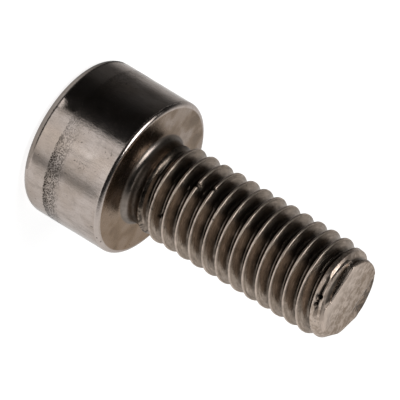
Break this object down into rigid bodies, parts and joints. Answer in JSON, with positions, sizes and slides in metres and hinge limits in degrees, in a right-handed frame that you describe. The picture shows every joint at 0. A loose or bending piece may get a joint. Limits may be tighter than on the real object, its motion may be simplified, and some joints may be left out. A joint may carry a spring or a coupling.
{
  "type": "socket head cap screw",
  "caption": "Socket head cap screw with a smooth round head, a hexagon socket and a right-hand metric thread running close up to the head.",
  "frame": {"origin": "centre of the driving face of the head, on which the screw stands", "axes": "+Z along the screw's axis from the driving face to the tip, -Y towards the picture's camera"},
  "size_m": [0.01, 0.01, 0.0206],
  "materials": {
    "steel": "bright cold-formed steel, lightly scuffed"
  },
  "bodies": {
    "root": {"cap_screw": "steel"}
  },
  "joints": []
}
